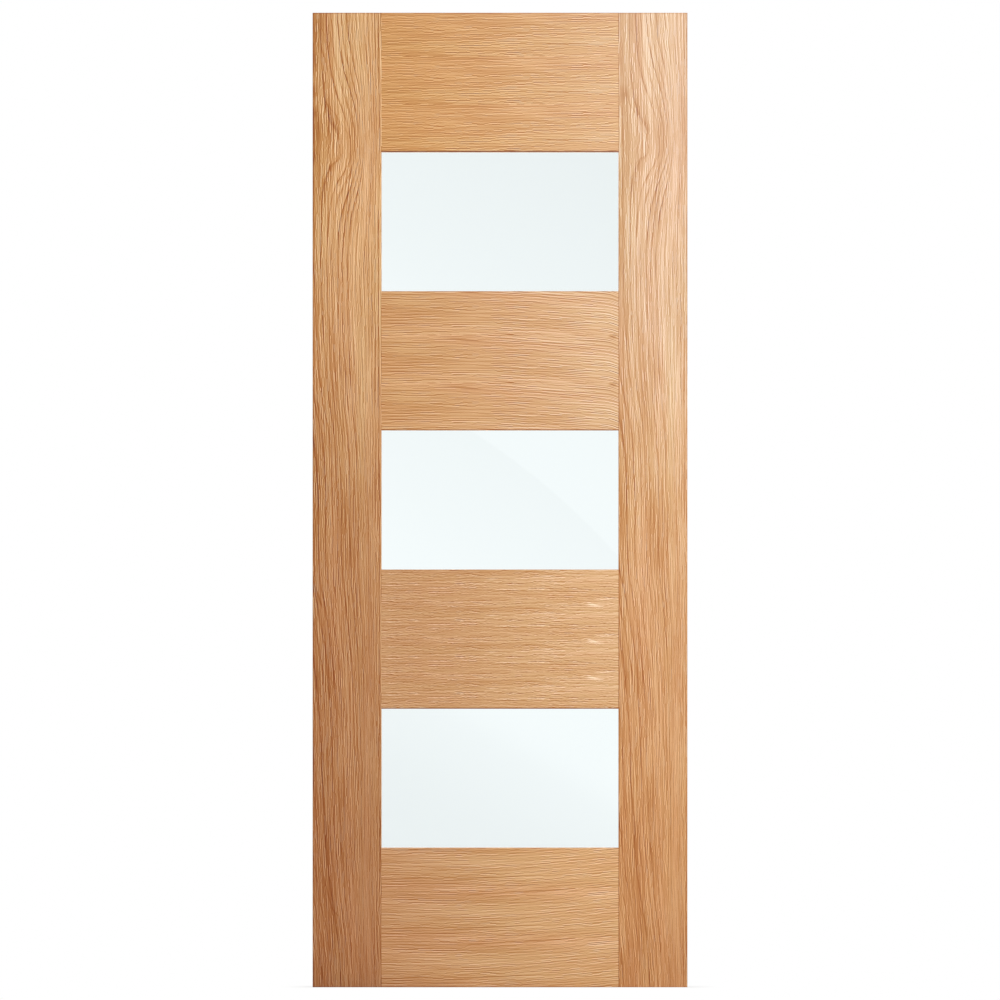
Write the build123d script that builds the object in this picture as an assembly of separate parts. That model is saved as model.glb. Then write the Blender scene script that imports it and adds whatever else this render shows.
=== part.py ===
from build123d import *

import os

# Glazed interior door leaf: oak-veneered stiles and rails round three panes of clear glass.
# X runs across the leaf from its hinge edge, Y through its thickness from front to back, and Z up from
# its bottom edge. The origin lies on the hinge edge, half way through the thickness, at the bottom.
# Each stile and rail is an engineered timber core between solid oak lippings, veneered front and back.
# A rebate open to the back takes each pane, and mitred beads close it.

# Leaf, millimetres
leaf_width = 762.0
leaf_height = 1981.0
leaf_thickness = 35.0
stile_width = 140.0
rail_height = 283.0

# Build-up of a stile or rail
veneer_thickness = 0.6
edge_lipping = 8.0
rebate_backing = 4.0
arris = 1.0

# Glazing
front_lip = 15.0
rebate_width = 10.0
glass_thickness = 5.0
glass_clearance = 2.0
glass_seam = 0.5
bead_setback = 0.5
bead_chamfer = 1.5

# Members from the bottom up
rail_names = ("bottom_rail", "lower_rail", "upper_rail", "top_rail")
pane_names = ("bottom_pane", "middle_pane", "top_pane")

# Worked out from the sizes above
glazing_lipping = rebate_width + rebate_backing
pane_height = (leaf_height - len(rail_names) * rail_height) / len(pane_names)
band_pitch = rail_height + pane_height
sight_left = stile_width
sight_right = leaf_width - stile_width
front_face = -leaf_thickness / 2
back_face = leaf_thickness / 2
core_front = front_face + veneer_thickness
core_back = back_face - veneer_thickness
glass_front = front_face + front_lip
glass_back = glass_front + glass_thickness
bead_depth = back_face - bead_setback - glass_back


def bar(x, y, z):
    """A square-edged bar between two values on each axis."""
    size = (x[1] - x[0], y[1] - y[0], z[1] - z[0])
    return Pos(x[0], y[0], z[0]) * Box(*size, align=(Align.MIN, Align.MIN, Align.MIN))


def leaf_envelope():
    """The whole leaf as one block, with its four upright corners eased."""
    block = bar((0, leaf_width), (front_face, back_face), (0, leaf_height))
    return chamfer(block.edges().filter_by(Axis.Z), arris)


def rail_span(index):
    """Bottom and top of a rail, counted from the bottom of the leaf."""
    low = index * band_pitch
    return low, low + rail_height


def sight_span(index):
    """Bottom and top of the glass that shows in a pane, counted from the bottom of the leaf."""
    return rail_span(index)[1], rail_span(index + 1)[0]


def rebate(index):
    """What the router takes out round a pane: from the glass line through the back of the leaf."""
    low, high = sight_span(index)
    return bar(
        (sight_left - rebate_width, sight_right + rebate_width),
        (glass_front, back_face),
        (low - rebate_width, high + rebate_width),
    )


def sight_easing(index):
    """What easing takes off the front arris of a pane's sight edges, all round."""
    low, high = sight_span(index)
    cutter = bar(
        (sight_left - arris, sight_right + arris),
        (front_face - arris, front_face + arris),
        (low - arris, high + arris),
    )
    return chamfer(cutter.faces().sort_by(Axis.Y)[-1].edges(), arris)


def lipped_widths(span, low_lipping, high_lipping):
    """Splits a member's width into its first lipping, its core and its last lipping."""
    low, high = span
    core = (low + low_lipping, high - high_lipping)
    return (low, core[0]), core, (core[1], high)


def left_stile():
    """The pieces of the stile at the hinge edge, full height."""
    whole = (0, stile_width)
    height = (0, leaf_height)
    outer, core, inner = lipped_widths(whole, edge_lipping, glazing_lipping)
    return {
        "core": bar(core, (core_front, core_back), height),
        "edge_lipping": bar(outer, (core_front, core_back), height),
        "glazing_lipping": bar(inner, (core_front, core_back), height),
        "front_veneer": bar(whole, (front_face, core_front), height),
        "back_veneer": bar(whole, (core_back, back_face), height),
    }


def rail(index):
    """The pieces of one rail, which fits between the stiles."""
    is_bottom = index == 0
    is_top = index == len(rail_names) - 1
    span = rail_span(index)
    lower, core, upper = lipped_widths(
        span, edge_lipping if is_bottom else glazing_lipping, edge_lipping if is_top else glazing_lipping
    )
    length = (sight_left, sight_right)
    return {
        "core": bar(length, (core_front, core_back), core),
        "lower_lipping": bar(length, (core_front, core_back), lower),
        "upper_lipping": bar(length, (core_front, core_back), upper),
        "front_veneer": bar(length, (front_face, core_front), span),
        "back_veneer": bar(length, (core_back, back_face), span),
    }


def pane(index):
    """One sheet of toughened glass with seamed edges, bedded on the front lip of its rebate."""
    low, high = sight_span(index)
    cover = rebate_width - glass_clearance
    sheet = bar(
        (sight_left - cover, sight_right + cover), (glass_front, glass_back), (low - cover, high + cover)
    )
    return chamfer(sheet.edges(), glass_seam)


def bead(length):
    """A bead mitred at both ends, lying along X with its outer edge at Z 0 and the glass at Y 0."""
    half = length / 2
    outline = Polygon(
        (-half, 0), (half, 0), (half - rebate_width, rebate_width), (rebate_width - half, rebate_width),
        align=None,
    )
    blank = extrude(Plane.XZ * outline, amount=-bead_depth)
    sight_edges = blank.edges().filter_by(Axis.X).group_by(Axis.Z)[-1]
    return chamfer(sight_edges.sort_by(Axis.Y)[-1], bead_chamfer)


def beads(index):
    """The four beads that close a pane's rebate, each turned so that its sight edge faces the pane."""
    low, high = sight_span(index)
    middle_x, middle_z = leaf_width / 2, (low + high) / 2
    across = sight_right - sight_left + 2 * rebate_width
    upright = high - low + 2 * rebate_width
    places = {
        "lower": (middle_x, middle_z - upright / 2, 0, across),
        "left": (middle_x - across / 2, middle_z, 90, upright),
        "upper": (middle_x, middle_z + upright / 2, 180, across),
        "right": (middle_x + across / 2, middle_z, -90, upright),
    }
    return {
        side: Pos(x, glass_back, z) * Rot(0, turn, 0) * bead(length)
        for side, (x, z, turn, length) in places.items()
    }


def door_leaf():
    """Every piece of the leaf by its name."""
    envelope = leaf_envelope()
    waste = [cut(index) for index in range(len(pane_names)) for cut in (rebate, sight_easing)]
    pieces = {}
    for part, blank in left_stile().items():
        routed = (blank & envelope) - waste
        pieces["left_stile_" + part] = routed
        pieces["right_stile_" + part] = mirror(routed, about=Plane.YZ.offset(leaf_width / 2))
    for index, name in enumerate(rail_names):
        for part, blank in rail(index).items():
            pieces[name + "_" + part] = blank - waste
    for index, name in enumerate(pane_names):
        pieces[name] = pane(index)
        for side, strip in beads(index).items():
            pieces[name + "_" + side + "_bead"] = strip
    return pieces


os.makedirs("parts", exist_ok=True)
for node, shape in door_leaf().items():
    export_step(shape, os.path.join("parts", node + ".step"))
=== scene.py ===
"""Oak-veneered glazed door leaf: finishes, bead pins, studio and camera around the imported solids."""
import math

import bmesh
import bpy
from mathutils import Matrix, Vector


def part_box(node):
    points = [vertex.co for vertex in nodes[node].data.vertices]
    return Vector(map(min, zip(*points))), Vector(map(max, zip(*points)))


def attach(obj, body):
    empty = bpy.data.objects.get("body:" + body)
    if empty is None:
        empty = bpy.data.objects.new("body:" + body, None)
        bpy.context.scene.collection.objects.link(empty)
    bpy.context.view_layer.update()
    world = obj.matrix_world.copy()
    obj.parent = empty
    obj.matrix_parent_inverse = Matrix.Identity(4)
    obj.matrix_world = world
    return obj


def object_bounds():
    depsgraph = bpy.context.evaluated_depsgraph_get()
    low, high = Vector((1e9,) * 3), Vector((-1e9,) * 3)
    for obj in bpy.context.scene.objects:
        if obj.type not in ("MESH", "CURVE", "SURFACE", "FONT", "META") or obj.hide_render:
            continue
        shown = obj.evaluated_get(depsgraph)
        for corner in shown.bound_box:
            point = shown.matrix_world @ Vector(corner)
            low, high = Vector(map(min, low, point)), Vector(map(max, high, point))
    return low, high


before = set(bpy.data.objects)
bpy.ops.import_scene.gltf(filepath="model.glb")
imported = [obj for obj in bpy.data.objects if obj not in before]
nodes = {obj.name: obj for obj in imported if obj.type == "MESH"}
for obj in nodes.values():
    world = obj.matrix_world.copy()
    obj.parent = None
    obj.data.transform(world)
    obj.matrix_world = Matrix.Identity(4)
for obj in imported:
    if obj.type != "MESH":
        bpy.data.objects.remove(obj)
cad_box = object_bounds()

# Leaf, metres, all read from the frame
leaf_low, leaf_high = (Vector(corner) for corner in cad_box)
leaf_middle = (leaf_low + leaf_high) / 2
leaf_height = leaf_high.z - leaf_low.z
leaf_width = leaf_high.x - leaf_low.x
stile_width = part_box("top_rail_core")[0].x - leaf_low.x
right_stile_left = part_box("top_rail_core")[1].x
pane_names = ("top_pane", "middle_pane", "bottom_pane")

# Camera: square on to the middle of the leaf
picture_pixels = 1000
metres_per_pixel = 0.002033
camera_distance = 20.0

# Oak colour. Darkness runs from 0 to 2, and a board's middle tone has its own place on that scale. Absorption
# is how fast lighter or darker grain gains or loses red, green and blue from there. Tones are sRGB, 0 to 255.
oak_body = (221, 173, 125)
middle_dark = 0.4
darkest = 2.0
light_absorption = (0.92, 1.68, 2.70)
dark_absorption = (0.98, 1.95, 3.80)
tone_steps = 12
cool_cast = (254, 255, 248)
warm_cast = (255, 247, 243)


def linear(colour):
    """An sRGB colour, 0 to 255, as the linear colour that a shader takes."""
    shares = (channel / 255 for channel in colour)
    return (*(s / 12.92 if s <= 0.04045 else ((s + 0.055) / 1.055) ** 2.4 for s in shares), 1.0)


def oak_tone(dark):
    """The linear colour of oak at a darkness of 0 to 2."""
    body = linear(oak_body)
    absorption = light_absorption if dark < middle_dark else dark_absorption
    return (*(body[i] * math.exp((middle_dark - dark) * absorption[i]) for i in range(3)), 1.0)


class Field:
    """A number that varies over a surface. Arithmetic on it adds nodes to its shader."""

    def __init__(self, shader, socket):
        self.shader = shader
        self.socket = socket

    def __add__(self, other):
        return self.shader.math("ADD", self, other)

    def __sub__(self, other):
        return self.shader.math("SUBTRACT", self, other)

    def __rsub__(self, other):
        return self.shader.math("SUBTRACT", other, self)

    def __mul__(self, other):
        return self.shader.math("MULTIPLY", self, other)

    def __truediv__(self, other):
        return self.shader.math("DIVIDE", self, other)

    def __pow__(self, other):
        return self.shader.math("POWER", self, other)

    __radd__ = __add__


class Shader:
    """Builds one node tree from short calls, each of which returns a Field or a colour socket."""

    def __init__(self, tree, output_kind):
        self.tree = tree
        self.tree.nodes.clear()
        self.output = self.tree.nodes.new(output_kind)

    def set(self, socket, value):
        if isinstance(value, Field):
            value = value.socket
        if isinstance(value, bpy.types.NodeSocket):
            self.tree.links.new(value, socket)
        else:
            socket.default_value = value

    def math(self, operation, *values):
        node = self.tree.nodes.new("ShaderNodeMath")
        node.operation = operation
        for socket, value in zip(node.inputs, values):
            self.set(socket, value)
        return Field(self, node.outputs[0])

    def coordinates(self, kind):
        """Three Fields: metres in the leaf's frame for Object, a ray's direction for a world's Generated."""
        source = self.tree.nodes.new("ShaderNodeTexCoord")
        split = self.tree.nodes.new("ShaderNodeSeparateXYZ")
        self.tree.links.new(source.outputs[kind], split.inputs[0])
        return [Field(self, socket) for socket in split.outputs]

    def ray(self, kind):
        """What Light Path says of the ray: 1 or 0 for its kind, or how often it has bounced."""
        return Field(self, self.tree.nodes.new("ShaderNodeLightPath").outputs[kind])

    def vector(self, *values):
        node = self.tree.nodes.new("ShaderNodeCombineXYZ")
        for socket, value in zip(node.inputs, values):
            self.set(socket, value)
        return node.outputs[0]

    def noise(self, *cells, detail=2.0):
        """Smooth noise of mean nought and about unit spread, at a place counted in cells."""
        node = self.tree.nodes.new("ShaderNodeTexNoise")
        node.inputs["Scale"].default_value = 1.0
        node.inputs["Detail"].default_value = detail
        self.set(node.inputs["Vector"], self.vector(*cells))
        return (Field(self, node.outputs[0]) - 0.5) * 8.0

    def chance(self, number):
        """A steady random share, 0 to 1, for each whole number."""
        node = self.tree.nodes.new("ShaderNodeTexWhiteNoise")
        node.noise_dimensions = "1D"
        self.set(node.inputs["W"], number)
        return Field(self, node.outputs["Value"])

    def chance_pair(self, first, second):
        """A steady random share, 0 to 1, for each pair of whole numbers."""
        node = self.tree.nodes.new("ShaderNodeTexWhiteNoise")
        node.noise_dimensions = "2D"
        self.set(node.inputs["Vector"], self.vector(first, second, 0.0))
        return Field(self, node.outputs["Value"])

    def curve(self, value, points):
        """A smooth curve through (value, result) points."""
        points = sorted(points)
        low, high = points[0][0], points[-1][0]
        results = [result for _, result in points]
        least = min(results)
        spread = (max(results) - least) or 1.0
        node = self.tree.nodes.new("ShaderNodeFloatCurve")
        line = node.mapping.curves[0]
        while len(line.points) < len(points):
            line.points.new(0.5, 0.5)
        for point, (place, result) in zip(line.points, points):
            point.location = ((place - low) / (high - low), (result - least) / spread)
            point.handle_type = "AUTO_CLAMPED"
        node.mapping.extend = "HORIZONTAL"
        node.mapping.update()
        self.set(node.inputs["Value"], (value - low) * (1 / (high - low)))
        return Field(self, node.outputs[0]) * spread + least

    def step(self, value, low, high):
        """Eases from 0 at low to 1 at high."""
        node = self.tree.nodes.new("ShaderNodeMapRange")
        node.interpolation_type = "SMOOTHSTEP"
        self.set(node.inputs["Value"], value)
        node.inputs["From Min"].default_value = low
        node.inputs["From Max"].default_value = high
        return Field(self, node.outputs["Result"])

    def bell(self, distance, half):
        """1 at no distance, falling smoothly away over about the half size."""
        share = distance / half
        return self.math("EXPONENT", share * share * -1.0)

    def patch(self, across, along, centre, half):
        """1 in the middle of an oval patch, falling smoothly away over about its half sizes."""
        return self.bell(across - centre[0], half[0]) * self.bell(along - centre[1], half[1])

    def stroke(self, across, along, points, half):
        """1 along a line through (along, across) points, fading to each side and towards both ends."""
        low = min(place for place, _ in points)
        high = max(place for place, _ in points)
        ease = (high - low) * 0.3
        ends = self.step(along, low, low + ease) * (1.0 - self.step(along, high - ease, high))
        return self.bell(across - self.curve(along, points), half) * ends

    def ramp(self, value, stops):
        """A colour from (place, linear colour) stops."""
        node = self.tree.nodes.new("ShaderNodeValToRGB")
        elements = node.color_ramp.elements
        while len(elements) < len(stops):
            elements.new(0.5)
        for element, (place, colour) in zip(elements, stops):
            element.position = place
            element.color = colour
        self.set(node.inputs["Fac"], value)
        return node.outputs["Color"]

    def mix(self, share, first, second, blend="MIX"):
        node = self.tree.nodes.new("ShaderNodeMix")
        node.data_type = "RGBA"
        node.blend_type = blend
        self.set(node.inputs[0], share)
        self.set(node.inputs[6], first)
        self.set(node.inputs[7], second)
        return node.outputs[2]

    def bump(self, height, depth):
        """A normal for a height of 0 to 1 over a depth in metres."""
        node = self.tree.nodes.new("ShaderNodeBump")
        node.inputs["Distance"].default_value = depth
        self.set(node.inputs["Height"], height)
        return node.outputs["Normal"]

    def principled(self, **inputs):
        node = self.tree.nodes.new("ShaderNodeBsdfPrincipled")
        for name, value in inputs.items():
            self.set(node.inputs[name.replace("_", " ")], value)
        self.tree.links.new(node.outputs[0], self.output.inputs["Surface"])


def new_shader(name):
    """An empty material of that name and the Shader that fills it."""
    material = bpy.data.materials.new(name)
    material.use_nodes = True
    return material, Shader(material.node_tree, "ShaderNodeOutputMaterial")


# Darkness of a growth ring from its porous start, through dense wood, to the next ring
ring_profile = ((0.0, 0.2), (0.05, 1.0), (0.11, 0.6), (0.22, 0.28), (0.45, 0.10), (0.8, 0.03), (1.0, 0.2))
ring_mean = 0.13

# Finest grain: width and length of its two kinds of streak, metres, and their mean strength
streak_width, streak_length = 0.0015, 0.045
fleck_width, fleck_length = 0.0018, 0.022
mean_fibre = 0.58

# What varies over the grain: size across and along it, metres
patchy_cell = (0.007, 0.12)
pore_cell = (0.00045, 0.0055)
middling_cell = (0.0055, 0.085)
broad_cell = (0.020, 0.26)
hue_cell = (0.035, 0.40)
pore_limits = (0.9, 1.8)

# Lacquer over it, and how deep the grain still shows in it, metres
lacquer_roughness = 0.34
grain_relief = 0.00002


def dashes(shader, across, along, seed, width, length):
    """Straight fine streaks, dark 1 to light -1: strips of one width, each cut into pieces of a length."""
    strips = across / width + seed
    strip = shader.math("FLOOR", strips)
    luck = shader.chance(strip)
    pieces = along / length * (luck + 0.5) + luck * 50.0
    piece = shader.math("FLOOR", pieces)
    side = (strips - strip) * 2.0 - 1.0
    end = (pieces - piece) * 2.0 - 1.0
    taper = (1.0 - side * side) * (1.0 - (end * end) ** 8.0)
    return (shader.chance_pair(strip, piece) * 2.0 - 1.0) * taper


def fine_grain(shader, across, along, seed, width, length):
    """The finest grain: streaks with fainter opposite ones on both sides."""
    middle = dashes(shader, across, along, seed, width, length)
    before = dashes(shader, across + width, along, seed, width, length)
    after = dashes(shader, across - width, along, seed, width, length)
    return middle - (before + after) * 0.5


def along_grain(shader, across, along, cell, seed, detail):
    """Noise drawn out along the grain."""
    return shader.noise(across / cell[0], along / cell[1], seed, detail=detail)


def growth_rings(shader, rings, seed):
    """Darkness of the growth rings: uneven in width, and some fainter than others."""
    count = rings + shader.noise(rings * 0.45, seed, 0.0) * 0.22
    ring = shader.math("FRACT", count)
    whole = shader.math("FLOOR", count)
    return shader.curve(ring, ring_profile) * (shader.chance(whole + seed) * 0.75 + 0.25)


def slow_shading(shader, across, along, seed):
    """Faint darker and lighter bands along the grain."""
    middling = along_grain(shader, across, along, middling_cell, seed + 1.1, 0.0)
    broad = along_grain(shader, across, along, broad_cell, seed, 1.0)
    return middling * 0.020 + broad * 0.035


def oak_colour(shader, dark, across, along, seed):
    """The colour of oak at a darkness, here a little cooler and there a little warmer."""
    shares = [step / tone_steps for step in range(tone_steps + 1)]
    colour = shader.ramp(dark / darkest, [(share, oak_tone(darkest * share)) for share in shares])
    hue = along_grain(shader, across, along, hue_cell, seed + 17.0, 1.0) * 0.25 + 0.5
    cast = shader.mix(hue, linear(cool_cast), linear(warm_cast))
    return shader.mix(1.0, colour, cast, blend="MULTIPLY")


def oak_surface(
    shader, rings, across, along, seed, line, fine, tint_and_painted_light,
    cloud=1.0, extra=0.0, gloss=0.5, stretch=1.0, skew=0.12,
):
    """Lacquered oak. rings counts growth rings; across and along are metres across and along the grain.

    line, fine and cloud are the strengths of its rings, finest grain and slow shading. extra adds darkness,
    stretch lengthens the finest grain, and skew favours its dark side.
    """
    patchy = along_grain(shader, across, along, patchy_cell, seed + 2.2, 1.0) * 0.25 + 0.85
    streaks = fine_grain(shader, across, along, seed + 3.0, streak_width, streak_length * stretch)
    flecks = fine_grain(shader, across, along, seed + 71.0, fleck_width, fleck_length * stretch)
    fibre = (streaks + flecks) * patchy
    fibre = fibre + (shader.math("ABSOLUTE", fibre) - mean_fibre) * skew
    growth = growth_rings(shader, rings, seed) * (patchy + streaks * 0.4)
    pores = shader.step(along_grain(shader, across, along, pore_cell, seed + 11.3, 0.0), *pore_limits)
    dark = (growth - ring_mean) * line + fibre * fine + slow_shading(shader, across, along, seed) * cloud
    dark = dark + pores * (growth * 0.5 + 0.2) * 0.2 - 0.01 + extra + middle_dark
    colour = oak_colour(shader, dark, across, along, seed)
    height = 0.6 - growth * 0.25 - pores * 0.45 - fibre * 0.03
    shader.principled(
        Base_Color=shader.mix(1.0, colour, tint_and_painted_light, blend="MULTIPLY"),
        Roughness=lacquer_roughness + streaks * 0.015 + growth * 0.05,
        Normal=shader.bump(height, grain_relief),
        Specular_IOR_Level=gloss,
    )


# Figure of the stiles, metres: the cut's depth from the heart of the tree, squared, and how that changes with
# height. Where it dips, the growth rings swell away from the heart; where it falls steadily, they slant.
swell_above = (
    (1.981, 0.0), (1.92, -0.0022), (1.867, -0.0053), (1.823, -0.0080), (1.776, -0.0105), (1.738, -0.0120),
    (1.710, -0.0121), (1.680, -0.0108), (1.645, -0.0080), (1.600, -0.0044), (1.550, -0.0017), (1.49, 0.0),
)
slant_below = (
    (1.50, 0.0), (1.30, -0.0012), (1.20, -0.0030), (1.12, -0.0052), (1.02, -0.0062), (0.875, -0.0065),
    (0.78, -0.0088), (0.64, -0.0120), (0.50, -0.0135), (0.36, -0.0144), (0.24, -0.0160), (0.15, -0.0185),
    (0.08, -0.0205), (0.0, -0.0215),
)
depth_squared = 0.0240
least_squared = 0.0004
heart_distance = 0.060
ring_density = 270.0
ring_power = 1.6

# Where across a stile the upper swell grows in and all swell dies away, and an oval of faint rings, metres
swell_start = (0.0, 0.095)
still_edge, still_share = (0.092, 0.130), 0.9
calm_centre, calm_half, calm_share = (0.045, 1.71), (0.033, 0.065), 0.75

# Heights between which a stile's rings grow stronger and its finest grain fainter, metres
line_rise = (0.3, 1.7)
fine_fall, fine_loss = (0.3, 1.4), 0.2

# Waves in the grain: size and depth, metres
stile_wave_cell, stile_wave = (0.020, 0.13), 0.0007
rail_wave_cell, rail_wave = (0.20, 0.05), 0.0003
ripple_cell = (0.012, 0.006)
edge_wave_cell, edge_wave = (0.02, 0.02, 0.2), 0.0006

# Width of the painted shade line along an arris, metres, on the outside of the leaf and round the glass
outer_shade_width = 0.0017
sight_shade_width = 0.0014

# Marks on the front of the stiles: strokes are (height, distance from the left edge) points, half width and
# darkness; patches are (distance, height), half sizes and darkness. All metres.
left_strokes = (
    (((1.925, 0.013), (1.874, 0.027), (1.85, 0.029)), 0.0016, 0.30),
    (
        ((1.871, 0.007), (1.857, 0.019), (1.796, 0.029), (1.776, 0.044), (1.742, 0.066), (1.72, 0.086)),
        0.0016, 0.16,
    ),
    (((1.202, 0.007), (1.158, 0.019), (1.131, 0.029)), 0.0018, 0.25),
    (((0.909, 0.058), (0.776, 0.068), (0.682, 0.077), (0.604, 0.082)), 0.0014, 0.28),
    (((0.825, 0.001), (0.795, 0.012), (0.765, 0.023)), 0.0020, 0.36),
    (((0.245, 0.016), (0.193, 0.029), (0.156, 0.042), (0.139, 0.054), (0.085, 0.061)), 0.0015, 0.24),
    (((0.07, 0.012), (0.03, 0.019), (0.0, 0.021)), 0.0018, 0.25),
)
left_patches = (
    ((0.008, 1.945), (0.012, 0.045), 0.30),
    ((0.003, 1.820), (0.006, 0.014), 0.30),
    ((0.003, 1.776), (0.007, 0.012), 0.30),
    ((0.003, 1.688), (0.007, 0.014), 0.35),
    ((0.036, 1.749), (0.012, 0.026), 0.22),
    ((0.005, 1.884), (0.006, 0.018), 0.30),
    ((0.010, 1.742), (0.008, 0.030), 0.22),
    ((0.015, 1.600), (0.004, 0.060), 0.18),
)
right_strokes = (
    (((1.84, 0.007), (1.796, 0.017), (1.774, 0.031), (1.735, 0.048)), 0.0018, 0.15),
)
right_patches = (
    ((0.006, 1.815), (0.008, 0.014), 0.20),
)

# Straight grain of rails, and of lippings and beads: width of a ring, metres, and strength of rings and fibre
rail_ring, rail_line = 0.0052, 0.06
edge_ring, edge_line, edge_fine = 0.0042, 0.20, 0.22


def painted_arris_shade(shader, x, z, shade_rims):
    """How much painted shade darkens the arrises. A rim is its axis, place, 1 or -1 for inward, width and
    darkness.
    """
    total = 0.0
    for axis, place, towards, width, darkness in shade_rims:
        inward = ((x if axis == "x" else z) - place) * towards
        total = (1.0 - shader.step(inward, width * 0.7, width * 1.3)) * darkness + total
    return total


def stile_oak(
    name, left, slip, seed, tints_and_painted_light, tint_heights=(0.30, 0.99, 1.60), lines=(0.65, 0.95), fine=0.36,
    shade=((0.0, 0.05), (0.03, 0.03), (0.055, -0.02), (0.14, -0.05)), strokes=(), patches=(), shade_rims=(),
):
    """Crown-cut oak: wide rings near the heart at the board's left edge, close straight ones at its right.

    tints colour the board at three heights, partly its own tone and partly painted light. lines are the
    strengths of the rings at the foot and at the top, and shade adds darkness across the board.
    """
    material, shader = new_shader(name)
    x, _, z = shader.coordinates("Object")
    wave = shader.noise(x / stile_wave_cell[0], z / stile_wave_cell[1], seed) * stile_wave
    u = x - left + wave
    slipped = z - slip
    above = shader.curve(slipped, swell_above) * shader.step(u, *swell_start)
    swell = (above + shader.curve(slipped, slant_below)) * (1.0 - shader.step(u, *still_edge) * still_share)
    q = u + heart_distance
    radius = shader.math("SQRT", shader.math("MAXIMUM", q * q + swell + depth_squared, least_squared))
    extra = shader.curve(u, shade)
    for points, half, amount in strokes:
        extra = shader.stroke(u, z, points, half) * amount + extra
    for centre, half, amount in patches:
        extra = shader.patch(u, z, centre, half) * amount + extra
    # Painted shade along the arrises
    extra = painted_arris_shade(shader, x, z, shade_rims) + extra
    # The tints paint light as well as tone: lighter towards the top of the board
    stops = [(height / leaf_height, linear(tone)) for height, tone in zip(tint_heights, tints_and_painted_light)]
    tint_and_painted_light = shader.ramp(z / leaf_height, stops)
    calm = shader.patch(u, z, calm_centre, calm_half)
    line = (shader.step(z, *line_rise) * (lines[1] - lines[0]) + lines[0]) * (1.0 - calm * calm_share)
    across = radius * 0.55 + u * 0.75
    fine = (1.0 + fine_loss) * fine - shader.step(z, *fine_fall) * fine_loss * fine
    rings = radius ** ring_power * ring_density
    oak_surface(shader, rings, across, z, seed, line, fine, tint_and_painted_light, cloud=1.7, extra=extra, skew=-0.25)
    return material


def rail_oak(
    name, bottom, leaf_pitch, bend, fine, seed, left_tint_and_painted_light, right_tint_and_painted_light, waviness=0.0, stretch=1.0, skew=0.12,
    marks=(), shade_rims=(),
):
    """Straight-grained oak in slip-matched leaves laid one above the other.

    bend is how far the grain wanders along the rail, and waviness how much it ripples.
    """
    material, shader = new_shader(name)
    x, _, z = shader.coordinates("Object")
    s = x - stile_width
    leaf = shader.math("FLOORED_MODULO", z - bottom, leaf_pitch)
    wave = shader.noise(s / rail_wave_cell[0], leaf / rail_wave_cell[1], seed, detail=0.0) * rail_wave
    ripple = shader.noise(s / ripple_cell[0], leaf / ripple_cell[1], seed + 4.0) * waviness
    flow = leaf + shader.curve(s, bend) + wave
    extra = 0.0
    for along, across, half_length, half, slope, amount in marks:
        leaned = flow - (s - along) * slope
        extra = shader.patch(leaned, s, (across, along), (half, half_length)) * amount + extra
    # Painted shade along the arrises
    extra = painted_arris_shade(shader, x, z, shade_rims) + extra
    across = flow + ripple + 0.3
    # Tint across the rail: partly the veneer's tone and partly painted light, paler towards the right where
    # the key lamp stands
    share = shader.step(s, 0.0, right_stile_left - stile_width)
    tint_and_painted_light = shader.mix(share, linear(left_tint_and_painted_light), linear(right_tint_and_painted_light))
    rings = across / rail_ring
    oak_surface(
        shader, rings, across, s, seed, rail_line, fine, tint_and_painted_light, extra=extra, stretch=stretch, skew=skew,
    )
    return material


def edge_oak(name, along_axis, seed, tone):
    """Solid oak for lippings and beads, with its grain along one axis."""
    material, shader = new_shader(name)
    place = shader.coordinates("Object")
    along = place.pop(along_axis)
    side, depth = place
    cells = [length / size for length, size in zip((side, depth, along), edge_wave_cell)]
    wave = shader.noise(*cells) * edge_wave
    across = side * 0.5 + depth * 0.85 + wave + 3.0
    rings = across / edge_ring
    oak_surface(shader, rings, across, along, seed, edge_line, edge_fine, linear(tone), gloss=0.35)
    return material


def core_timber():
    """Softwood core strips glued side by side, seen on their sawn ends."""
    strip_width = 0.0295
    ring_width = 0.0031
    glue_line = (0.485, 0.497)
    glue_tone = (120, 82, 50)
    timber_tones = ((0.0, (236, 205, 158)), (0.5, (214, 172, 118)), (1.0, (168, 118, 70)))
    sawn_relief = 0.00015
    material, shader = new_shader("core_timber")
    x, y, z = shader.coordinates("Object")
    strip = shader.math("FLOOR", x / strip_width)
    inside = shader.math("FRACT", x / strip_width)
    tilt = shader.chance(strip) - 0.5
    ring_x = (inside - 0.5) * strip_width + tilt * 0.05
    ring_y = y + 0.03 + shader.chance(strip + 40.0) * 0.05
    radius = shader.math("SQRT", ring_x * ring_x + ring_y * ring_y)
    wobble = shader.noise(x / 0.006, y / 0.006, z / 0.1) * 0.0001
    ring = shader.math("FRACT", (radius + wobble) / ring_width)
    glue = 1.0 - shader.step(shader.math("ABSOLUTE", inside - 0.5), *glue_line)
    grain = ring ** 2.5 * 0.6 + shader.noise(x / 0.0008, y / 0.0008, z / 0.02) * 0.04 + tilt * 0.3
    colour = shader.ramp(grain + 0.2, [(spot, linear(tone)) for spot, tone in timber_tones])
    colour = shader.mix(glue, linear(glue_tone), colour)
    shader.principled(
        Base_Color=colour, Roughness=0.7 + ring * 0.1, Normal=shader.bump(ring * 0.6 + glue, sawn_relief),
        Specular_IOR_Level=0.3,
    )
    return material


def clear_glass():
    """Toughened float glass, faintly green, with the slight roller wave that toughening leaves."""
    glass_tint = (0.915, 0.978, 0.982, 1.0)
    glass_index = 1.57
    wave_depth = 0.00001
    material, shader = new_shader("clear_glass")
    x, _, z = shader.coordinates("Object")
    wave = shader.noise(x / 0.9, z / 0.30, 2.0, detail=0.0) * 0.2
    shader.principled(
        Base_Color=glass_tint, Roughness=0.0, IOR=glass_index, Transmission_Weight=1.0,
        Normal=shader.bump(wave, wave_depth),
    )
    return material


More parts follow.
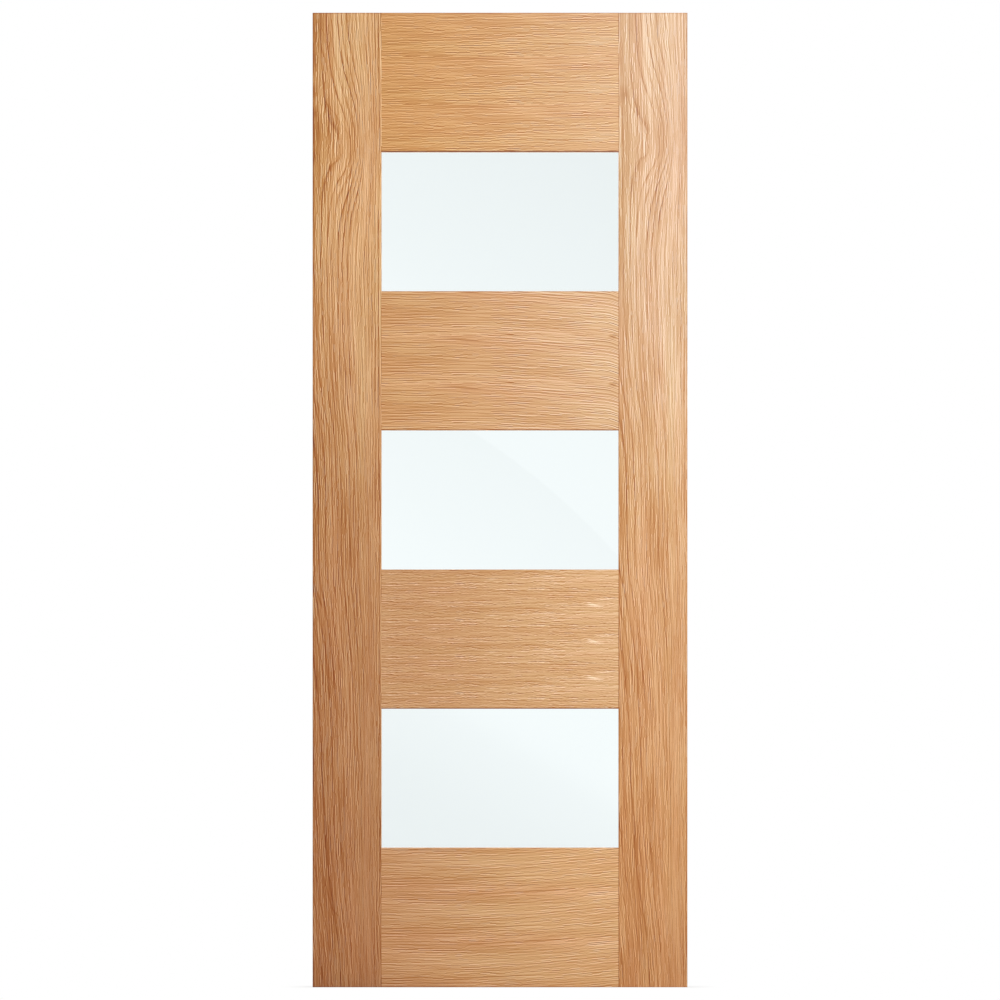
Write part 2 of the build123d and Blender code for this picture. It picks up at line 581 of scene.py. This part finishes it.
def stopper():
    """The coloured wax that fills the pin holes in the beads."""
    smear_size = 0.0006
    smear_depth = 0.00005
    light_wax, dark_wax = (150, 98, 52), (112, 70, 36)
    material, shader = new_shader("pin_stopper")
    x, y, z = shader.coordinates("Object")
    smear = shader.noise(x / smear_size, y / smear_size, z / smear_size)
    colour = shader.ramp(smear * 0.15 + 0.5, [(0.0, linear(light_wax)), (1.0, linear(dark_wax))])
    shader.principled(
        Base_Color=colour, Roughness=0.55 + smear * 0.04, Normal=shader.bump(smear * 0.2 + 0.5, smear_depth),
        Specular_IOR_Level=0.3,
    )
    return material


def dress(node, material):
    """Gives a CAD node its finish."""
    nodes[node].data.materials.clear()
    nodes[node].data.materials.append(material)


# Easing of sharp edges on rails and beads, and how near two corners are one, metres
veneer_easing = 0.0002
bead_easing = 0.0003
weld_distance = 0.00001


def ease_edges(node, width):
    """Softens a node's sharp edges by a hair, so that joints show as fine lines."""
    weld = nodes[node].modifiers.new("weld", "WELD")
    weld.merge_threshold = weld_distance
    bevel = nodes[node].modifiers.new("ease", "BEVEL")
    bevel.width = width
    bevel.segments = 1
    bevel.limit_method = "ANGLE"
    nodes[node].modifiers.new("normals", "WEIGHTED_NORMAL")


# Veneers of the stiles. left is where a board's figure starts and slip how far it is shifted up, metres.
# tints run from foot to top, sRGB 0 to 255. They are partly the boards' own tone and partly painted light:
# lighter towards the top, and palest at the right stile's top as painted sheen.
back_tints_and_painted_light = ((230, 213, 199), (235, 224, 214), (243, 238, 232))
stile_faces = {
    "left_stile_front": dict(
        left=leaf_low.x, slip=-0.012, seed=1.7, lines=(0.75, 1.15), fine=0.40,
        tints_and_painted_light=((208, 179, 154), (221, 201, 177), (243, 233, 212)),
        strokes=left_strokes, patches=left_patches,
        shade=((0.0, 0.10), (0.03, 0.08), (0.05, 0.0), (0.07, -0.03), (0.115, -0.04), (0.14, -0.11)),
        # Painted shade along the left, foot and top arrises
        shade_rims=(
            ("x", leaf_low.x, 1, outer_shade_width, 0.38), ("z", leaf_low.z, 1, outer_shade_width, 0.38),
            ("z", leaf_high.z, -1, outer_shade_width, 0.4),
        ),
    ),
    "right_stile_front": dict(
        left=right_stile_left + 0.006, slip=0.0, seed=1.7, lines=(0.58, 0.80), fine=0.28,
        tints_and_painted_light=((236, 213, 185), (242, 235, 224), (242, 244, 250)), tint_heights=(0.30, 0.99, 1.38),
        strokes=right_strokes, patches=right_patches,
        # Painted shade along the outer arrises and along the sight edge beside the glass
        shade_rims=(
            ("x", leaf_high.x, -1, outer_shade_width, 0.3), ("x", right_stile_left, 1, sight_shade_width, 0.5),
            ("z", leaf_low.z, 1, outer_shade_width, 0.2), ("z", leaf_high.z, -1, outer_shade_width, 0.3),
        ),
    ),
    "left_stile_back": dict(left=leaf_low.x, slip=-0.06, seed=21.3, tints_and_painted_light=back_tints_and_painted_light),
    "right_stile_back": dict(left=right_stile_left + 0.004, slip=-0.05, seed=21.3, tints_and_painted_light=back_tints_and_painted_light),
}
for face, facts in stile_faces.items():
    dress(face + "_veneer", stile_oak(face, **facts))

# Width, metres, and darkness of the painted shade line along each rail's lower front arris, which faces down
# away from the lamps
arris_shade_lines = {
    "top_rail": (0.0022, 1.6),
    "upper_rail": (0.0017, 1.3),
    "lower_rail": (0.0019, 1.4),
    "bottom_rail": (0.0014, 0.5),
}

# Veneers of the rails, metres. A mark is its place along the rail and across the leaf of veneer, its half
# length and half height, its slope and its darkness.
# Left and right tints, sRGB 0 to 255, are partly the veneers' tone and partly painted light, paler at the
# right
rail_figures = {
    "top_rail": dict(
        leaf_pitch=0.0975, fine=0.36, skew=0.16, left_tint_and_painted_light=(240, 225, 190), right_tint_and_painted_light=(241, 234, 220),
        bend=((0.0, 0.002), (0.20, 0.001), (0.482, 0.0)),
        marks=((0.17, 0.0933, 0.070, 0.0018, 0.0, 0.22),),
    ),
    "upper_rail": dict(
        leaf_pitch=0.0975, fine=0.37, stretch=1.5, skew=0.28,
        left_tint_and_painted_light=(239, 228, 212), right_tint_and_painted_light=(245, 245, 248),
        bend=((0.0, 0.0), (0.16, 0.0), (0.28, 0.004), (0.40, 0.011), (0.455, 0.015), (0.482, 0.022)),
        marks=(
            (0.165, 0.0870, 0.035, 0.0016, -0.08, 0.30),
            (0.470, 0.1107, 0.008, 0.0040, 0.0, 0.32),
            (0.0, 0.056, 0.20, 0.022, 0.0, 0.10),
        ),
    ),
    "lower_rail": dict(
        leaf_pitch=0.0743, waviness=0.0005, fine=0.29, skew=0.22,
        left_tint_and_painted_light=(233, 224, 216), right_tint_and_painted_light=(252, 254, 255),
        bend=((0.0, 0.0), (0.30, 0.001), (0.482, 0.004)),
        marks=(
            (0.431, 0.0655, 0.014, 0.0026, -0.12, -0.40),
            (0.225, 0.0415, 0.010, 0.0020, 0.0, -0.15),
            (0.337, 0.0470, 0.012, 0.0020, 0.0, -0.15),
            (0.18, 0.0556, 0.10, 0.0050, 0.0, 0.12),
        ),
    ),
    "bottom_rail": dict(
        leaf_pitch=0.101, fine=0.31, stretch=1.2, skew=0.20,
        left_tint_and_painted_light=(233, 219, 208), right_tint_and_painted_light=(255, 252, 243),
        bend=((0.0, 0.020), (0.16, 0.0195), (0.30, 0.014), (0.482, 0.0)),
        marks=(
            (0.33, 0.108, 0.16, 0.0010, 0.0, 0.28),
            (0.20, 0.0395, 0.11, 0.0013, 0.0, 0.25),
            (0.02, 0.0375, 0.04, 0.0013, 0.0, 0.22),
        ),
    ),
}


def dress_rail(rail, figure, number):
    """Veneers a rail on both faces. The marks and the painted shade on the arrises are the front's."""
    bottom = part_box(rail + "_lower_lipping")[0].z
    shade_rims = [("z", bottom, 1, *arris_shade_lines[rail])]
    # The top rail also gets painted shade along the leaf's top arris
    if rail == "top_rail":
        shade_rims.append(("z", leaf_high.z, -1, outer_shade_width, 0.3))
    front = dict(figure, seed=3.3 + 2.3 * number, shade_rims=shade_rims)
    back = dict(figure, seed=31.9 + 2.3 * number, marks=())
    for face, facts in (("front", front), ("back", back)):
        node = f"{rail}_{face}_veneer"
        dress(node, rail_oak(f"{rail}_{face}", bottom, **facts))
        ease_edges(node, veneer_easing)


for rail_number, (rail_name, rail_figure) in enumerate(rail_figures.items()):
    dress_rail(rail_name, rail_figure, rail_number)

upright_oak = edge_oak("upright_lipping_oak", 2, 5.2, (236, 224, 208))
level_oak = edge_oak("level_lipping_oak", 0, 8.4, (238, 226, 210))
core = core_timber()
glass = clear_glass()
for name in nodes:
    if name.endswith("stile_edge_lipping") or name.endswith("stile_glazing_lipping"):
        dress(name, upright_oak)
    elif name.endswith("_lipping"):
        dress(name, level_oak)
    elif name.endswith("left_bead") or name.endswith("right_bead"):
        dress(name, upright_oak)
        ease_edges(name, bead_easing)
    elif name.endswith("_bead"):
        dress(name, level_oak)
        ease_edges(name, bead_easing)
    elif name.endswith("_core"):
        dress(name, core)
    elif name in pane_names:
        dress(name, glass)
        nodes[name].visible_shadow = False

# Pins that hold the beads: filled holes on the beads' back faces, metres. Their profile is shares of the
# radius and of the crown's height.
pin_radius = 0.0011
pin_crown = 0.00012
pin_end_distance = 0.045
pin_spacing = 0.15
pin_sides = 12
pin_profile = ((1.0, 0.0), (0.75, 0.8), (0.35, 1.0))


def add_pin(shape, x, y, z):
    """One filled pin hole: a low round crown on a bead's back face."""
    rings = []
    for share, rise in pin_profile:
        ring = []
        for side in range(pin_sides):
            turn = 2 * math.pi * side / pin_sides
            across = x + pin_radius * share * math.cos(turn)
            up = z + pin_radius * share * math.sin(turn)
            ring.append(shape.verts.new((across, y + pin_crown * rise, up)))
        rings.append(ring)
    for outer, inner in zip(rings, rings[1:]):
        for side in range(pin_sides):
            following = (side + 1) % pin_sides
            shape.faces.new((outer[following], outer[side], inner[side], inner[following]))
    shape.faces.new(list(reversed(rings[-1])))


def pin_places(low, high):
    """Places along a bead: one near each end and the rest evenly between."""
    first = low + pin_end_distance
    last = high - pin_end_distance
    gaps = max(1, math.ceil((last - first) / pin_spacing))
    return [first + (last - first) * gap / gaps for gap in range(gaps + 1)]


def add_pins():
    """All the filled pin holes, as one piece."""
    shape = bmesh.new()
    for pane in pane_names:
        for side in ("lower", "upper", "left", "right"):
            low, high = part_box(f"{pane}_{side}_bead")
            middle = (low + high) / 2
            if side in ("lower", "upper"):
                for x in pin_places(low.x, high.x):
                    add_pin(shape, x, high.y, middle.z)
            else:
                for z in pin_places(low.z, high.z):
                    add_pin(shape, middle.x, high.y, z)
    mesh = bpy.data.meshes.new("bead_pins")
    shape.to_mesh(mesh)
    shape.free()
    mesh.materials.append(stopper())
    pins = bpy.data.objects.new("bead_pins", mesh)
    bpy.context.scene.collection.objects.link(pins)
    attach(pins, "root")


add_pins()

# Studio: place, diameter and power of each lamp, metres and watts
lamps = {
    "key": (Vector((1.49, -2.95, 2.15)), 0.8, 62.0),
    "fill": (Vector((2.0, -3.0, 0.3)), 0.8, 18.0),
    "back": (Vector((-0.9, 3.4, 2.2)), 1.2, 60.0),
}
ambient = 0.25

# What the glass mirrors from the front: a bright band across, and a large disc whose edge shows as an arc.
# Both give way to the glow of the room further out. Places are metres on the leaf's front, from its middle.
band_across, band_up = 0.5, 0.87
band_inside = (
    (-0.72, 0.0), (-0.63, 0.07), (-0.51, 0.35), (-0.45, 0.53), (-0.33, 0.98), (-0.21, 0.95), (-0.09, 0.77),
    (0.09, 0.55),
)
band_outside = ((0.03, 0.90), (0.21, 0.80), (0.33, 0.54), (0.51, 0.27), (0.69, 0.03))
arc_softness = 0.003
room_glow = 0.2
disc_x, disc_z, disc_radius = -0.785, -1.01, 1.36
mirrored_across, mirrored_up = (0.5, 0.9), (1.1, 1.6)
front_share = (0.3, 0.6)
least_ahead = 0.05

# Floor: how far it runs and how near the foot of the leaf its shadow keeps, metres, and its own grey
floor_reach = 40.0
foot_shadow = 0.07
floor_grey = 0.75

# The shadow that it keeps behind the leaf: across, shares of the leaf's width, and from near to far, metres
shelter_across = (0.30, 0.48)
shelter_near, shelter_far = (0.0, 0.05), (0.3, 1.2)


def add_lamp(name, place, diameter, power):
    """A round soft lamp turned to the middle of the leaf."""
    data = bpy.data.lights.new(name, "AREA")
    data.shape = "DISK"
    data.size = diameter
    data.energy = power
    lamp = bpy.data.objects.new(name, data)
    lamp.location = place
    lamp.rotation_euler = (leaf_middle - place).to_track_quat("-Z", "Y").to_euler()
    lamp.visible_transmission = False
    bpy.context.scene.collection.objects.link(lamp)


def mirrored_light(shader):
    """What a mirror sees of the studio: white at the back and sides, and the soft band at the front."""
    x, y, z = shader.coordinates("Generated")
    ahead = shader.math("MAXIMUM", y * -1.0, least_ahead)
    across = x / ahead * camera_distance
    up = z / ahead * camera_distance
    band = across * band_across + up * band_up
    from_x = across - disc_x
    from_z = up - disc_z
    distance = shader.math("SQRT", from_x * from_x + from_z * from_z)
    outside = shader.step(distance, disc_radius - arc_softness, disc_radius + arc_softness)
    inside_glow = shader.curve(band, band_inside)
    outside_glow = shader.curve(band, band_outside)
    mirrored = inside_glow + (outside_glow - inside_glow) * outside
    beside = shader.step(shader.math("ABSOLUTE", across), *mirrored_across)
    beyond = shader.step(shader.math("ABSOLUTE", up), *mirrored_up)
    near = (1.0 - beside) * (1.0 - beyond)
    mirrored = (mirrored - room_glow) * near + room_glow
    in_front = shader.step(y * -1.0, *front_share)
    return 1.0 - in_front + mirrored * in_front


def add_world():
    """White where it is seen, also through glass, a fill where it lights, and the band where mirrored."""
    world = bpy.data.worlds.new("studio")
    world.use_nodes = True
    bpy.context.scene.world = world
    shader = Shader(world.node_tree, "ShaderNodeOutputWorld")
    through = shader.math("MAXIMUM", shader.ray("Is Glossy Ray"), shader.ray("Is Transmission Ray"))
    bounced = shader.math("GREATER_THAN", shader.ray("Glossy Depth"), 0.5)
    through = through * (1.0 - bounced + mirrored_light(shader) * bounced)
    shown = shader.math("MAXIMUM", shader.ray("Is Camera Ray"), through)
    background = shader.tree.nodes.new("ShaderNodeBackground")
    background.inputs["Color"].default_value = (1.0, 1.0, 1.0, 1.0)
    lit = shader.ray("Is Diffuse Ray") * ambient
    shader.set(background.inputs["Strength"], shader.math("MAXIMUM", shown, lit))
    shader.tree.links.new(background.outputs[0], shader.output.inputs["Surface"])


def add_floor():
    """A pale floor that keeps the shadow behind the leaf and at its foot, and runs out to white."""
    mesh = bpy.data.meshes.new("floor")
    shape = bmesh.new()
    bmesh.ops.create_grid(shape, x_segments=1, y_segments=1, size=floor_reach)
    shape.to_mesh(mesh)
    shape.free()
    floor = bpy.data.objects.new("floor", mesh)
    floor.location = (leaf_middle.x, leaf_middle.y, leaf_low.z)
    floor.visible_glossy = False
    floor.visible_transmission = False
    bpy.context.scene.collection.objects.link(floor)
    mesh.materials.append(floor_finish())


def floor_finish():
    """Grey that takes shadow near the foot and behind the leaf, mixed with plain white further out."""
    material, shader = new_shader("floor")
    x, y, _ = shader.coordinates("Object")
    beside = shader.math("MAXIMUM", shader.math("ABSOLUTE", x) - leaf_width / 2, 0.0)
    behind = shader.math("MAXIMUM", y, 0.0)
    away = shader.math("SQRT", beside * beside + y * y)
    edge_start, edge_end = (leaf_width * share for share in shelter_across)
    sheltered = 1.0 - shader.step(shader.math("ABSOLUTE", x), edge_start, edge_end)
    sheltered = sheltered * shader.step(behind, *shelter_near) * (1.0 - shader.step(behind, *shelter_far))
    white_share = shader.step(away, 0.0, foot_shadow) * 0.2 + 0.8 - sheltered * 0.6
    seen = 1.0 - shader.ray("Is Diffuse Ray")
    plain = shader.tree.nodes.new("ShaderNodeBsdfDiffuse")
    plain.inputs["Color"].default_value = (floor_grey, floor_grey, floor_grey, 1.0)
    white = shader.tree.nodes.new("ShaderNodeEmission")
    blend = shader.tree.nodes.new("ShaderNodeMixShader")
    shader.set(blend.inputs[0], white_share * seen)
    shader.tree.links.new(plain.outputs[0], blend.inputs[1])
    shader.tree.links.new(white.outputs[0], blend.inputs[2])
    shader.tree.links.new(blend.outputs[0], shader.output.inputs["Surface"])
    return material


def add_camera():
    """Square on to the front, far enough away for the photograph's near-parallel lines."""
    data = bpy.data.cameras.new("camera")
    data.angle = 2 * math.atan(picture_pixels * metres_per_pixel / 2 / camera_distance)
    camera = bpy.data.objects.new("camera", data)
    camera.location = (leaf_middle.x, leaf_low.y - camera_distance, leaf_middle.z)
    camera.rotation_euler = (math.pi / 2, 0.0, 0.0)
    bpy.context.scene.collection.objects.link(camera)
    bpy.context.scene.camera = camera


for lamp_name, lamp_facts in lamps.items():
    add_lamp(lamp_name, *lamp_facts)
add_world()
add_floor()
add_camera()
bpy.context.scene.view_settings.view_transform = "Standard"
